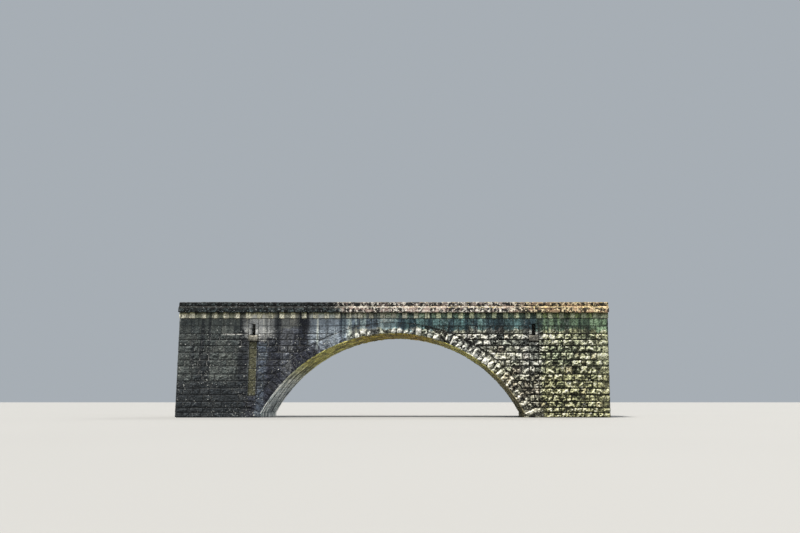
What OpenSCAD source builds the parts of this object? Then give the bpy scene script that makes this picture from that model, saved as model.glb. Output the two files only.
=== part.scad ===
// Stone arch bridge: one segmental arch between two solid end blocks, coursed side walls with
// drain outlets, a dentil course, a projecting cornice and a low kerb.
// X runs along the bridge, Y across it and Z up, in millimetres. The origin is the middle of
// the footprint at ground level, and the front face looks along -Y.

/* [Arch] */
// Clear width of the opening at the springing
clear_span = 15200; // [12000:100:18400]
// Height of the crown of the opening above the springing
arch_rise = 4580; // [3600:20:5600]
// Height of the springing above the ground
springing_z = 250; // [100:10:1200]
// Depth of the face rings along the radius
ring_depth = 650; // [450:10:900]
// Depth of the vault between the face rings
vault_depth = 600; // [400:10:900]
// Length of each springer behind the bed that it offers the arch
springer_tail = 700; // [450:10:1200]

/* [Walls] */
// Length of the bridge
bridge_l = 25200; // [21000:100:30400]
// Width between the outer faces of the side walls
bridge_w = 4400; // [3600:50:7000]
// Thickness of the side walls, and length of the face ring stones under them
wall_t = 600; // [450:10:900]
// Thickness of the end walls
end_wall_t = 600; // [450:10:900]
// Height of walling between the crown of the ring and the dentil course
crown_cover = 260; // [120:10:900]

/* [Drain outlets] */
// Distance from the middle of the bridge to the middle of each outlet
drain_x = 8200; // [6800:50:9800]
// Width of the bay of walling that holds the outlet, and of its ledge stone
bay_w = 560; // [480:10:900]
// Width of the outlet slot
slot_w = 190; // [100:10:300]
// Height of the outlet slot
slot_h = 650; // [300:10:900]
// Distance from the dentil course down to the top of the slot
slot_drop = 330; // [150:10:600]
// Height of the ledge stone under the slot
ledge_h = 360; // [180:10:400]
// How far the ledge stone stands out of the wall
ledge_out = 60; // [20:5:150]
// How far the ledge stone reaches into the wall
ledge_bed = 350; // [200:10:440]
// Fall of the ledge stone's top from the wall to its nose
ledge_fall = 40; // [10:5:80]
// Depth of the channel cut in the ledge stone
channel_d = 30; // [10:5:60]
// Width of the shallow chase below the ledge
chase_w = 450; // [300:10:470]
// Depth of the chase
chase_d = 60; // [20:5:120]
// Height of the foot of the chase above the ground
chase_foot_z = 1250; // [800:10:2400]

/* [Dentil course] */
// Height of the dentils
dentil_h = 340; // [200:10:600]
// Width of a dentil
dentil_w = 270; // [150:10:450]
// Spacing of the dentils, middle to middle
dentil_pitch = 655; // [500:5:900]
// How far the dentils stand out of the wall
dentil_out = 170; // [60:10:240]
// Least distance from the last dentil to the end of the bridge
dentil_margin = 150; // [50:10:600]

/* [Cornice] */
// Height of the upright front of the cornice
cornice_h = 240; // [150:10:400]
// Height of the sloping wash above it
wash_h = 120; // [40:5:160]
// How far the cornice stands out of the wall
cornice_out = 280; // [250:10:500]

/* [Kerb] */
// Distance from the cornice's front to the kerb
kerb_set = 150; // [80:10:300]
// Thickness of the kerb
kerb_t = 450; // [300:10:520]
// Height of the kerb
kerb_h = 250; // [180:10:500]
// Chamfer on the kerb's top edges
kerb_chamfer = 60; // [20:5:90]

/* [Track bed] */
// Distance from the kerb's top down to the gravel
gravel_drop = 130; // [50:10:170]

/* [Hidden] */
$fn = 360;

// How far a cutting tool runs past the face that it cuts
past = 10;
// How far a slice turns past the wall that it cuts or the half that it joins, in degrees
turn_past = 0.05;

half_l = bridge_l / 2;
half_w = bridge_w / 2;
// Half the distance between the inner faces of the side walls
inner_y = half_w - wall_t;

// The opening's arc: its radius, its centre and half the angle that it turns through
half_span = clear_span / 2;
radius = (half_span * half_span + arch_rise * arch_rise) / (2 * arch_rise);
centre_z = springing_z + arch_rise - radius;
half_angle = atan2(half_span, springing_z - centre_z);

// The springer's bed lies on the radius through the springing and carries ring and vault
bed_depth = max(ring_depth, vault_depth);
bed_x = half_span + bed_depth * sin(half_angle);
bed_z = springing_z + bed_depth * cos(half_angle);

// Levels of the courses at the top
dentil_z = springing_z + arch_rise + ring_depth + crown_cover;
cornice_z = dentil_z + dentil_h;
kerb_z = cornice_z + cornice_h + wash_h;
top_z = kerb_z + kerb_h;
gravel_z = top_z - gravel_drop;

// Fronts of the projecting courses, as distances from the middle of the bridge
cornice_y = half_w + cornice_out;
kerb_y = cornice_y - kerb_set;
kerb_inner_y = kerb_y - kerb_t;

// The outlet bay's sides and levels
bay_x0 = drain_x - bay_w / 2;
bay_x1 = drain_x + bay_w / 2;
slot_top_z = dentil_z - slot_drop;
slot_z = slot_top_z - slot_h;
ledge_z = slot_z - ledge_h;

// Dentils on each side of the middle one
dentils_each_way = floor((half_l - dentil_margin - dentil_w / 2) / dentil_pitch);

VAULT_STONE = "#8c8a5c";
RING_STONE = "#a9a79c";
WALL_STONE = "#8b9090";
WING_STONE = "#7c8288";
LEDGE_STONE = "#a8a48f";
DENTIL_STONE = "#9c9f8f";
CORNICE_STONE = "#b9ab97";
KERB_STONE = "#8f8483";
END_STONE = "#83868a";
BACKING_STONE = "#77736b";
GRAVEL = "#857f78";

// Draws its children as made, or turned over to the left end
module at_end(end) {
    mirror([end == "left" ? 1 : 0, 0, 0]) children();
}

// Draws its children as made, or turned over to the back
module at_face(face) {
    mirror([0, face == "back" ? 1 : 0, 0]) children();
}

// Stands an X-Z outline upright and gives it a depth from y0 to y1
module across(y0, y1) {
    translate([0, y1, 0]) rotate([90, 0, 0]) linear_extrude(height = y1 - y0) children();
}

// Lays a Y-Z outline along the bridge from x0 to x1
module along(x0, x1) {
    translate([x0, 0, 0]) rotate([90, 0, 90]) linear_extrude(height = x1 - x0) children();
}

// A slice about the arch's centre, right of the crown: radii r0 to r1, angles a0 to a1 from
// the upright, and depth from y0 to y1
module arc_slice(r0, r1, a0, a1, y0, y1) {
    translate([0, y1, centre_z]) rotate([90, 0, 0]) rotate([0, 0, 90 - a1])
        rotate_extrude(angle = a1 - a0) translate([r0, 0]) square([r1 - r0, y1 - y0]);
}

// The whole arch, as two equal halves joined at the crown
module arch_piece(depth, y0, y1) {
    for (side = [0, 1]) mirror([side, 0, 0])
        arc_slice(radius, radius + depth, -turn_past, half_angle, y0, y1);
}

// Everything under the back of the ring or vault between x0 and x1, right of the crown
module under_arch(depth, x0, x1, y0, y1) {
    back_r = radius + depth;
    a0 = asin(min(1, x0 / back_r)) - turn_past;
    a1 = min(half_angle, asin(min(1, x1 / back_r))) + turn_past;
    if (a0 < half_angle) {
        arc_slice(0, back_r, a0, a1, y0, y1);
        translate([x0, y0, -past])
            cube([back_r * sin(a1) - x0, y1 - y0, centre_z + back_r * cos(a1) + past]);
    }
}

// Outline of the right springer, with its sloping bed
module springer_outline() {
    polygon([
        [half_span, 0], [half_span, springing_z], [bed_x, bed_z],
        [bed_x + springer_tail, bed_z], [bed_x + springer_tail, 0]
    ]);
}

// The right side wall between x0 and x1 and between z0 and z1, seated on ring and springer
module side_wall(x0, x1, z0 = 0, z1 = dentil_z) {
    difference() {
        translate([x0, -half_w, z0]) cube([x1 - x0, wall_t, z1 - z0]);
        under_arch(ring_depth, x0, x1, -half_w - past, -inner_y + past);
        across(-half_w - past, -inner_y + past) springer_outline();
    }
}

module vault() {
    color(VAULT_STONE) arch_piece(vault_depth, -inner_y, inner_y);
}

module ring(face) {
    color(RING_STONE) at_face(face) arch_piece(ring_depth, -half_w, -inner_y);
}

module springer(end) {
    color(RING_STONE) at_end(end) across(-half_w, half_w) springer_outline();
}

module spandrel(face, end) {
    color(WALL_STONE) at_face(face) at_end(end) side_wall(0, bay_x0);
}

// The slot runs right through the wall, and its floor falls to the ledge
module outlet_slot() {
    translate([drain_x - slot_w / 2, 0, 0]) along(0, slot_w) polygon([
        [-half_w - past, slot_z], [-half_w + ledge_bed, slot_z],
        [-inner_y + past, slot_z + ledge_fall],
        [-inner_y + past, slot_top_z], [-half_w - past, slot_top_z]
    ]);
}

module ledge_seat() {
    translate([bay_x0 - past, -half_w - past, ledge_z])
        cube([bay_w + 2 * past, ledge_bed + past, ledge_h]);
}

module outlet_head(face, end) {
    color(WALL_STONE) at_face(face) at_end(end) difference() {
        side_wall(bay_x0, bay_x1, ledge_z);
        outlet_slot();
        ledge_seat();
    }
}

// The wall below the ledge, with a shallow chase that the water runs down
module chase(face, end) {
    color(WALL_STONE) at_face(face) at_end(end) difference() {
        side_wall(bay_x0, bay_x1, 0, ledge_z);
        translate([drain_x - chase_w / 2, -half_w - past, chase_foot_z])
            cube([chase_w, chase_d + past, ledge_z - chase_foot_z + past]);
    }
}

// A stone with a falling top and a channel that leads the water over its nose
module ledge(face, end) {
    color(LEDGE_STONE) at_face(face) at_end(end) difference() {
        along(bay_x0, bay_x1) polygon([
            [-half_w - ledge_out, ledge_z], [-half_w - ledge_out, slot_z - ledge_fall],
            [-half_w, slot_z], [-half_w + ledge_bed, slot_z], [-half_w + ledge_bed, ledge_z]
        ]);
        along(drain_x - slot_w / 2, drain_x + slot_w / 2) polygon([
            [-half_w - ledge_out - past, slot_z - ledge_fall - channel_d],
            [-half_w + ledge_bed, slot_z],
            [-half_w - ledge_out - past, slot_z + past]
        ]);
    }
}

module wing(face, end) {
    color(WING_STONE) at_face(face) at_end(end) side_wall(bay_x1, half_l);
}

// Outline across the bridge between the cornices and kerbs, from z0 to the gravel's level
module top_outline(z0) {
    polygon([
        [-inner_y, z0], [inner_y, z0], [inner_y, kerb_z], [kerb_inner_y, kerb_z],
        [kerb_inner_y, gravel_z], [-kerb_inner_y, gravel_z], [-kerb_inner_y, kerb_z],
        [-inner_y, kerb_z]
    ]);
}

module end_wall(end) {
    color(END_STONE) at_end(end) along(half_l - end_wall_t, half_l) top_outline(0);
}

// Rubble masonry and fill behind the walls, seated on the vault and the springer
module backing(end) {
    color(BACKING_STONE) at_end(end) difference() {
        translate([0, -inner_y, 0]) cube([half_l - end_wall_t, 2 * inner_y, cornice_z]);
        under_arch(vault_depth, 0, half_l, -inner_y - past, inner_y + past);
        across(-inner_y - past, inner_y + past) springer_outline();
    }
}

// A band of walling with square dentils that carry the cornice
module dentil_course(face) {
    color(DENTIL_STONE) at_face(face) {
        translate([-half_l, -half_w, dentil_z]) cube([bridge_l, wall_t, dentil_h]);
        for (i = [-dentils_each_way : dentils_each_way])
            translate([i * dentil_pitch - dentil_w / 2, -half_w - dentil_out, dentil_z])
                cube([dentil_w, dentil_out + past, dentil_h]);
    }
}

module cornice(face) {
    color(CORNICE_STONE) at_face(face) along(-half_l, half_l) polygon([
        [-cornice_y, cornice_z], [-cornice_y, cornice_z + cornice_h],
        [-kerb_y, kerb_z], [-inner_y, kerb_z], [-inner_y, cornice_z]
    ]);
}

module kerb(face) {
    color(KERB_STONE) at_face(face) along(-half_l, half_l) polygon([
        [-kerb_y, kerb_z], [-kerb_y, top_z - kerb_chamfer], [-kerb_y + kerb_chamfer, top_z],
        [-kerb_inner_y - kerb_chamfer, top_z], [-kerb_inner_y, top_z - kerb_chamfer],
        [-kerb_inner_y, kerb_z]
    ]);
}

module track_bed() {
    color(GRAVEL) along(end_wall_t - half_l, half_l - end_wall_t) top_outline(cornice_z);
}

vault();
ring("front");  // ring_front
ring("back");  // ring_back
springer("left");  // springer_left
springer("right");  // springer_right
spandrel("front", "left");  // spandrel_front_left
spandrel("front", "right");  // spandrel_front_right
spandrel("back", "left");  // spandrel_back_left
spandrel("back", "right");  // spandrel_back_right
outlet_head("front", "left");  // outlet_head_front_left
outlet_head("front", "right");  // outlet_head_front_right
outlet_head("back", "left");  // outlet_head_back_left
outlet_head("back", "right");  // outlet_head_back_right
ledge("front", "left");  // ledge_front_left
ledge("front", "right");  // ledge_front_right
ledge("back", "left");  // ledge_back_left
ledge("back", "right");  // ledge_back_right
chase("front", "left");  // chase_front_left
chase("front", "right");  // chase_front_right
chase("back", "left");  // chase_back_left
chase("back", "right");  // chase_back_right
wing("front", "left");  // wing_front_left
wing("front", "right");  // wing_front_right
wing("back", "left");  // wing_back_left
wing("back", "right");  // wing_back_right
end_wall("left");  // end_wall_left
end_wall("right");  // end_wall_right
backing("left");  // backing_left
backing("right");  // backing_right
dentil_course("front");  // dentil_course_front
dentil_course("back");  // dentil_course_back
cornice("front");  // cornice_front
cornice("back");  // cornice_back
kerb("front");  // kerb_front
kerb("back");  // kerb_back
track_bed();
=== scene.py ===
# Stone arch bridge: its looks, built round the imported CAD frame, in metres.
# Each wall, ring, vault and course of the frame is laid again here as separate stones on a bed
# of mortar, and gets weathered stone materials. X runs along the bridge, -Y is the front.

import math
from functools import reduce
from itertools import combinations, pairwise

import bpy
import numpy as np
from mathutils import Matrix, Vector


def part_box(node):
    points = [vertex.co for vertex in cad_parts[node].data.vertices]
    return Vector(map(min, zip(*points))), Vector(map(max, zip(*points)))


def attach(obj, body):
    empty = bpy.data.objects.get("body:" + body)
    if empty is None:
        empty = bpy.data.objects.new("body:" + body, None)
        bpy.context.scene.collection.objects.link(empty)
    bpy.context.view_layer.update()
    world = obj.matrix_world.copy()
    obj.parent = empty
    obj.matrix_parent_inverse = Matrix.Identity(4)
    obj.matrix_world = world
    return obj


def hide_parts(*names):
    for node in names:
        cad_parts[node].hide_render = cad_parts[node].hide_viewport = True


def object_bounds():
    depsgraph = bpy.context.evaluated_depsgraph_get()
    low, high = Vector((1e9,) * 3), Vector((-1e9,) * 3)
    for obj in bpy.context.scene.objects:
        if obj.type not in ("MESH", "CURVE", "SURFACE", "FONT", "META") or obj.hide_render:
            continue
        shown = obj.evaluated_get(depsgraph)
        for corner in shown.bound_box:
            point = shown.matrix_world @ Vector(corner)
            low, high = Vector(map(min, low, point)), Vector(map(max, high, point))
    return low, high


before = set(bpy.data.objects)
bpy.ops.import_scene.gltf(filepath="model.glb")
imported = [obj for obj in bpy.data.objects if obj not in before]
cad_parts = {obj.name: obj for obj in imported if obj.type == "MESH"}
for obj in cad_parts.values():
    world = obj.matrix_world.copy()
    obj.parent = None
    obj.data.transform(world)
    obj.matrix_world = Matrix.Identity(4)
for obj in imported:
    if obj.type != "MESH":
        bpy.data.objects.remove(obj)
cad_lo, cad_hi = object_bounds()

# Places read from the frame, for the front face and the right end
WALL_LO, WALL_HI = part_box("wing_front_right")
SPRINGER_LO, SPRINGER_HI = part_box("springer_right")
RING_LO, RING_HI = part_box("ring_front")
CHASE_LO, CHASE_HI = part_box("chase_front_right")
LEDGE_LO, LEDGE_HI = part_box("ledge_front_right")
BAND_LO, BAND_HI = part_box("dentil_course_front")
CORNICE_LO, CORNICE_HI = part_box("cornice_front")
KERB_LO, KERB_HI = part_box("kerb_front")
BED_LO, BED_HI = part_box("track_bed")

HALF_L = WALL_HI.x
FACE_Y, INNER_Y = -WALL_LO.y, -WALL_HI.y
END_WALL_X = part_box("end_wall_right")[0].x
BAY_X0, BAY_X1 = CHASE_LO.x, CHASE_HI.x
DRAIN_X = (BAY_X0 + BAY_X1) / 2
HALF_SPAN, TAIL_X = SPRINGER_LO.x, SPRINGER_HI.x
BED_X, BED_Z = RING_HI.x, SPRINGER_HI.z
SPRING_Z = RING_LO.z
LEDGE_Z, SLOT_Z = LEDGE_LO.z, LEDGE_HI.z
BAND_Z, CORNICE_Z, KERB_Z = BAND_LO.z, BAND_HI.z, CORNICE_HI.z
DENTIL_Y, CORNICE_Y = -BAND_LO.y, -CORNICE_LO.y
KERB_Y, KERB_INNER_Y = -KERB_LO.y, -KERB_HI.y
TOP_Z, GRAVEL_Z = KERB_HI.z, BED_HI.z

# The arch, from the springer's bed, which lies on a radius
RING_DEPTH = math.hypot(BED_X - HALF_SPAN, BED_Z - SPRING_Z)
HALF_ANGLE = math.atan2(BED_X - HALF_SPAN, BED_Z - SPRING_Z)
RADIUS = HALF_SPAN / math.sin(HALF_ANGLE)
CENTRE_Z = SPRING_Z - RADIUS * math.cos(HALF_ANGLE)
RING_R = RADIUS + RING_DEPTH
VAULT_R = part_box("vault")[1].z - CENTRE_Z
HALF_ARC = RADIUS * HALF_ANGLE

# Sizes of the outlets and the top that the frame's boxes don't give
SLOT_HALF, SLOT_TOP = 0.095, 5.41
SLOT_SLOPE = 0.038
CHASE_HALF, CHASE_DEPTH, CHASE_FOOT = 0.225, 0.06, 1.25
LEDGE_FALL, CHANNEL_DEPTH = 0.04, 0.03
WASH_Z = KERB_Z - 0.12

# Levels of the bed joints of the side and end walls. The courses from the first named level
# are half dressed, and the top one is dressed.
HALF_DRESSED_Z, DRESSED_Z = 4.82, 5.29
LEVELS = [0, 0.28, BED_Z, 0.90, 1.28, 1.66, 2.07, 2.47, 2.94, 3.29, 3.735, 4.12,
          4.47, HALF_DRESSED_Z, DRESSED_Z, BAND_Z]
SMOOTH_CHASE_LEVELS = [BED_Z, 0.90, CHASE_FOOT, 1.66, 2.09, 2.79, 3.40, 3.94, LEDGE_Z]

# Depth of the mortar behind dressed faces, ring stones and rock faces
MORTAR = 0.018
RING_MORTAR = {"left": 0.022, "right": 0.055}
ROCK_MORTAR = {"left": 0.030, "right": 0.075}
# Half a joint, and how far a stone's edge falls back into it
GAP = 0.006
JOINT, DRESSED_JOINT = 0.040, 0.014
# Bulge from which a face counts as a rock face, and how far the faces on the left still bulge
ROCK_BULGE = 0.015
WORN = 0.32
# Cells of the modelled faces, and the width of the rounded edges
CELL, SMOOTH_CELL = 0.043, 0.075
ARRIS, DRESSED_ARRIS = 0.018, 0.009
# Height over the joints that counts as full relief, and the relief of a dressed face
FULL_RELIEF, SMOOTH_RELIEF = 0.11, 0.55
# Least distance between upright joints of two courses, and the least length of a stone
BOND, SLIVER = 0.10, 0.05
# Least height of a stone at its toe on the ring, and the least that its face is laid out for
TOE, LEAST_TALL = 0.07, 0.08
STONE_L = {"left": 0.64, "right": 0.44}
END_STONE_L, VAULT_STONE_L, SLAB_L, KERB_L, END_KERB_L = 0.6, 0.72, 1.25, 1.05, 0.9
QUOIN_LONG, QUOIN_SHORT, QUOIN_TOOTH = 0.74, 0.42, 0.24
QUOIN_BULGE, QUOIN_END_BULGE = 0.07, 0.03
# The end walls' faces stand behind the end of the bridge, and bulge at most this much
END_FACE_X, END_BULGE = HALF_L - 0.045, 0.035
# The mortar stays this far inside the ends
END_INSET = 0.05
VOUSSOIR_EDGES = np.linspace(-HALF_ARC, HALF_ARC, 53 + 1)
# Left of this place along the soffit the voussoirs are worn
WORN_ARC = -0.4 * RADIUS


def lattice(i, seed):
    """A number from -1 to 1 for each whole-number point of i, by an integer hash."""
    h = i[..., 0] * 73856093 ^ i[..., 1] * 19349663 ^ i[..., 2] * 83492791 ^ seed * 2971215073
    h = (h & 0xFFFFFFFF).astype(np.uint64)
    for shift, factor in ((15, 2246822519), (13, 3266489917)):
        h = ((h ^ (h >> np.uint64(shift))) * np.uint64(factor)) & np.uint64(0xFFFFFFFF)
    h = h ^ (h >> np.uint64(16))
    return h.astype(float) / 2147483647.5 - 1


def lumps(points, size, seed):
    """Smooth noise from -1 to 1 at the points, with lumps of about that size."""
    q = points / size
    base = np.floor(q).astype(np.int64)
    f = q - base
    f = f * f * (3 - 2 * f)
    total = np.zeros(points.shape[:-1])
    for corner in np.ndindex(2, 2, 2):
        share = np.prod(np.where(corner, f, 1 - f), axis=-1)
        total += share * lattice(base + corner, seed)
    return total


class Masonry:
    """Gathers the closed stones and mortar bodies that stand for one CAD node, and makes one
    piece of them. They are laid out as on the right of the front, and mirrored from there."""

    def __init__(self, node, seed, materials, face="front", end="right"):
        self.node, self.seed, self.materials, self.end = node, seed, materials, end
        self.rng = np.random.default_rng(seed)
        self.sx, self.sy = (-1 if end == "left" else 1), (-1 if face == "back" else 1)
        self.points, self.loops, self.sizes, self.kinds, self.tones = [], [], [], [], []
        self.count, self.below = 0, ()

    def solid(self, x, z, y):
        """Where a place on the right of the front lies on this body's face and end."""
        return np.stack([self.sx * x, self.sy * y, z], axis=-1)

    def front(self, along, up, out):
        """The same for a place on the face of the side wall, that far out of it."""
        return self.solid(along, up, -FACE_Y - out)

    def round(self, along, radius, y):
        """The same for a place that far along the soffit from the crown, at that radius."""
        angle = along / RADIUS
        return self.solid(radius * np.sin(angle), CENTRE_Z + radius * np.cos(angle), y)

    def cut(self, start, end, stone):
        """Divides a course into stones, clear of the upright joints of the course below. Returns
        where each one starts and ends."""
        count = max(1, round((end - start) / stone))
        widths = self.rng.uniform(0.62, 1.38, count)
        cuts = start + (end - start) * np.cumsum(widths)[:-1] / widths.sum()
        for i, c in enumerate(cuts):
            near = [b for b in self.below if abs(c - b) < BOND]
            if near:
                cuts[i] = near[0] + math.copysign(BOND, c - near[0])
        self.below = cuts
        return list(pairwise([start, *cuts, end]))

    def add(self, points, faces, kind=0, relief=0.5):
        """Adds a closed body and turns its faces outwards. faces is a list of arrays, one row of
        point numbers for a face, kind is the number of its material, and relief tells the
        material how far each point stands out of the joints, from 0 to 1."""
        faces = [np.atleast_2d(group) for group in faces]
        q = points - points.mean(axis=0)
        volume = sum((q[f[:, :1]] * np.cross(q[f[:, 1:-1]], q[f[:, 2:]])).sum() for f in faces)
        for group in faces:
            group = (group if volume > 0 else group[:, ::-1]) + self.count
            self.loops.append(group.ravel())
            self.sizes.append(np.full(len(group), group.shape[1]))
            self.kinds.append(np.full(len(group), kind))
        self.points.append(points)
        tone = np.empty((len(points), 4))
        tone[:, :3] = self.rng.random(3)
        tone[:, 3] = relief
        self.tones.append(tone)
        self.count += len(points)

    def make(self, stones="stones"):
        """Makes the mesh piece that stands for the CAD node."""
        name = f"{self.node}_{stones}"
        mesh = bpy.data.meshes.new(name)
        points = np.clip(np.concatenate(self.points), cad_lo, cad_hi)
        loops, sizes = np.concatenate(self.loops), np.concatenate(self.sizes)
        starts = np.concatenate([[0], np.cumsum(sizes)[:-1]])
        mesh.vertices.add(len(points))
        mesh.loops.add(len(loops))
        mesh.polygons.add(len(sizes))
        tone = mesh.attributes.new("tone", "FLOAT_COLOR", "POINT")
        for group, key, values, kind in (
                (mesh.vertices, "co", points, np.float32),
                (mesh.loops, "vertex_index", loops, np.int32),
                (mesh.polygons, "loop_start", starts, np.int32),
                (mesh.polygons, "material_index", np.concatenate(self.kinds), np.int32),
                (tone.data, "color", np.concatenate(self.tones), np.float32)):
            group.foreach_set(key, values.astype(kind).ravel())
        mesh.update(calc_edges=True)
        for material in self.materials:
            mesh.materials.append(material)
        piece = bpy.data.objects.new(name, mesh)
        bpy.context.scene.collection.objects.link(piece)
        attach(piece, "root")
        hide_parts(self.node)


def shares(length, cell, edge):
    """Shares from 0 to 1 along a length: a narrow one at each end, and even cells between."""
    count = max(2, round(length / cell))
    e = min(edge / length, 0.3)
    return np.concatenate([[0], np.linspace(e, 1 - e, count + 1), [1]])


def ticks(a, b, cell=0.09, edge=0.02):
    """Lattice lines from a to b, with one close to each end."""
    return a + (b - a) * shares(abs(b - a), cell, edge)


def grid_faces(n, m):
    """Quads of a grid of n by m points, with the normal towards the viewer of i across, j up."""
    a = np.arange((n - 1) * m).reshape(n - 1, m)[:, :-1].ravel()
    return np.stack([a, a + m, a + m + 1, a + 1], axis=1)


def closed_grid(front, back):
    """Points and faces of a body with a gridded front and a back of the same outline."""
    n, m = front.shape[:2]
    rim = [(i, 0) for i in range(n)] + [(n - 1, j) for j in range(1, m)]
    rim += [(i, m - 1) for i in range(n - 2, -1, -1)] + [(0, j) for j in range(m - 2, 0, -1)]
    i, j = np.array(rim).T
    top = i * m + j
    low = n * m + np.arange(len(rim))
    sides = np.stack([top, low, np.roll(low, -1), np.roll(top, -1)], axis=1)
    return np.concatenate([front.reshape(-1, 3), back[i, j]]), [grid_faces(n, m), sides, low[::-1]]


def split_face(body, spot, edge, across, up, bulge):
    """Heights of a stone's face. edge, across and up are distances in metres. The face starts a
    little behind the wall's plane at its edges, and is split off in planes that lean to a boss,
    with scooped breaks in them."""
    rng = body.rng
    wide, tall = across.max(), up.max()
    steep = bulge / 0.10
    face = np.full(edge.shape, bulge * rng.uniform(0.85, 1.2))
    for run, base in ((up, 0.25), (tall - up, 0.25), (across, 0.14), (wide - across, 0.14)):
        start = bulge * rng.uniform(base, base + 0.25)
        face = np.minimum(face, start + steep * rng.uniform(0.3, 0.9) * run)
    for _ in range(3):
        slope_a, slope_b = steep * rng.uniform(-0.35, 0.35, 2)
        plane = bulge * rng.uniform(0.7, 1.1) + slope_a * (across - rng.uniform(0.2, 0.8) * wide)
        face = np.minimum(face, plane + slope_b * (up - rng.uniform(0.2, 0.8) * tall))
    scoops = 0.3 - np.abs(lumps(spot, 0.15, body.seed + 8))
    scoops += 0.6 * (0.3 - np.abs(lumps(spot, 0.085, body.seed + 9)))
    face = np.maximum(face + 0.9 * bulge * scoops, 0.15 * bulge)
    return (1 - np.exp(-edge / 0.015)) * face - 0.4 * bulge


def relief_of(out, bulge):
    """Relief of each point of a face that stands out that far, for the material."""
    if bulge <= ROCK_BULGE:
        return np.full(out.shape, SMOOTH_RELIEF)
    return np.clip(0.2 + 0.8 * (out + 0.4 * bulge) / FULL_RELIEF, 0.2, 1)


def wall_stone(body, u0, u1, low, high, bulge, rough, place=None, extra=None, depth=0.14,
               kind=0, cell=CELL):
    """Lays one stone of a wall between the levels low and high. place maps (along, up, out) to
    the row frame. Without it the stone lies in a side wall, and stands on the ring where the
    ring is higher than low. extra holds lines to model and a function for added heights."""
    def foot(u):
        return np.full(u.shape, low) if place else np.maximum(low, back_of_ring(u))

    wide = u1 - u0
    tall = max(high - foot(np.array([(u0 + u1) / 2]))[0], LEAST_TALL)
    rocky = bulge > ROCK_BULGE
    arris = ARRIS if rocky else DRESSED_ARRIS
    s, t = shares(wide, cell, arris), shares(tall, cell, arris)
    if extra:
        s = np.unique(np.concatenate([s, extra[0]]))
    u = u0 + GAP + (wide - 2 * GAP) * s
    v0, v1 = foot(u) + GAP, np.maximum(high - GAP, foot(u) + 2 * GAP)
    grid_s, grid_t = np.meshgrid(s, t, indexing="ij")
    grid_u = np.broadcast_to(u[:, None], grid_s.shape)
    grid_v = v0[:, None] + (v1 - v0)[:, None] * grid_t
    edge = np.minimum(np.minimum(grid_s, 1 - grid_s) * wide, np.minimum(grid_t, 1 - grid_t) * tall)
    inside = edge > 1e-9
    spot = np.stack([grid_u, grid_v, np.zeros(grid_u.shape)], axis=-1)
    out = split_face(body, spot, edge, grid_s * wide, grid_t * tall, bulge)
    grain = lumps(spot, 0.17, body.seed) + 0.8 * lumps(spot, 0.08, body.seed + 1)
    out = out + rough * grain * inside
    relief = relief_of(out, bulge) * inside
    if extra:
        out = out + extra[1](grid_u, grid_v)
    out = np.where(inside, out, out - (JOINT if rocky else DRESSED_JOINT))
    wave = 0.012 if bulge > 0.06 else 0.006
    wave_u, wave_v = (wave * lumps(spot, 0.13, body.seed + k) for k in (2, 3))
    place = place or body.front
    points, faces = closed_grid(place(grid_u + wave_u, grid_v + wave_v, out),
                                place(grid_u, grid_v, np.full(grid_u.shape, -depth)))
    relief = np.concatenate([relief.ravel(), np.zeros(len(points) - relief.size)])
    body.add(points, faces, kind, relief)


def block(body, u, v, w, rough=0.006, edge=0.02, bulges=(), place=None, kind=0):
    """A closed block on the lattice u by v by w, with rounded edges and a rough surface. bulges
    holds sides with how far they stand out as a rock face, such as ("w0", 0.03)."""
    place = place or body.solid
    lines = [np.asarray(a, float) for a in (u, v, w)]
    sizes = [len(a) for a in lines]
    corners, quads, count = [], [], 0
    for axis in range(3):
        b, c = [k for k in range(3) if k != axis]
        for side in (0, 1):
            index = np.zeros((sizes[b], sizes[c], 3), int)
            index[..., axis] = side * (sizes[axis] - 1)
            index[..., b] = np.arange(sizes[b])[:, None]
            index[..., c] = np.arange(sizes[c])
            faces = grid_faces(sizes[b], sizes[c]) + count
            corners.append(index.reshape(-1, 3))
            quads.append(faces[:, ::-1] if (side == 1) == (axis == 1) else faces)
            count += sizes[b] * sizes[c]
    index, back = np.unique(np.concatenate(corners), axis=0, return_inverse=True)
    quads = back.reshape(-1)[np.concatenate(quads)]
    q = np.stack([lines[k][index[:, k]] for k in range(3)], axis=1)
    outward = (index == np.array(sizes) - 1).astype(float) - (index == 0)
    sharp = (outward != 0).sum(axis=1) >= 2
    relief = np.where(sharp, 0.15, SMOOTH_RELIEF)
    worn = 0.35 + 0.6 * np.maximum(lumps(q, 0.22, body.seed + 7), 0)
    q = q - outward * (edge * worn * sharp)[:, None]
    for side, bulge in bulges:
        axis, end = "uvw".index(side[0]), int(side[1]) * 2 - 1
        b, c = [k for k in range(3) if k != axis]
        on = (outward[:, axis] == end) & (outward[:, b] == 0) & (outward[:, c] == 0)
        across, up = q[on, b] - lines[b].min(), q[on, c] - lines[c].min()
        rim = np.minimum(np.minimum(across, np.ptp(lines[b]) - across),
                         np.minimum(up, np.ptp(lines[c]) - up))
        face = split_face(body, q[on], rim, across, up, bulge)
        q[on, axis] += end * face
        relief[on] = relief_of(face, bulge)
    points = place(q[:, 0], q[:, 1], q[:, 2])
    grain = np.stack([lumps(points, 0.09, body.seed + k) for k in (4, 5, 6)], axis=1)
    body.add(points + rough * grain, [quads], kind, relief)


def core(body, u, v, w, place=None):
    """The plain body of mortar behind the stones, on the lattice u by v by w."""
    block(body, u, v, w, 0, 0, (), place, 1)


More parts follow.
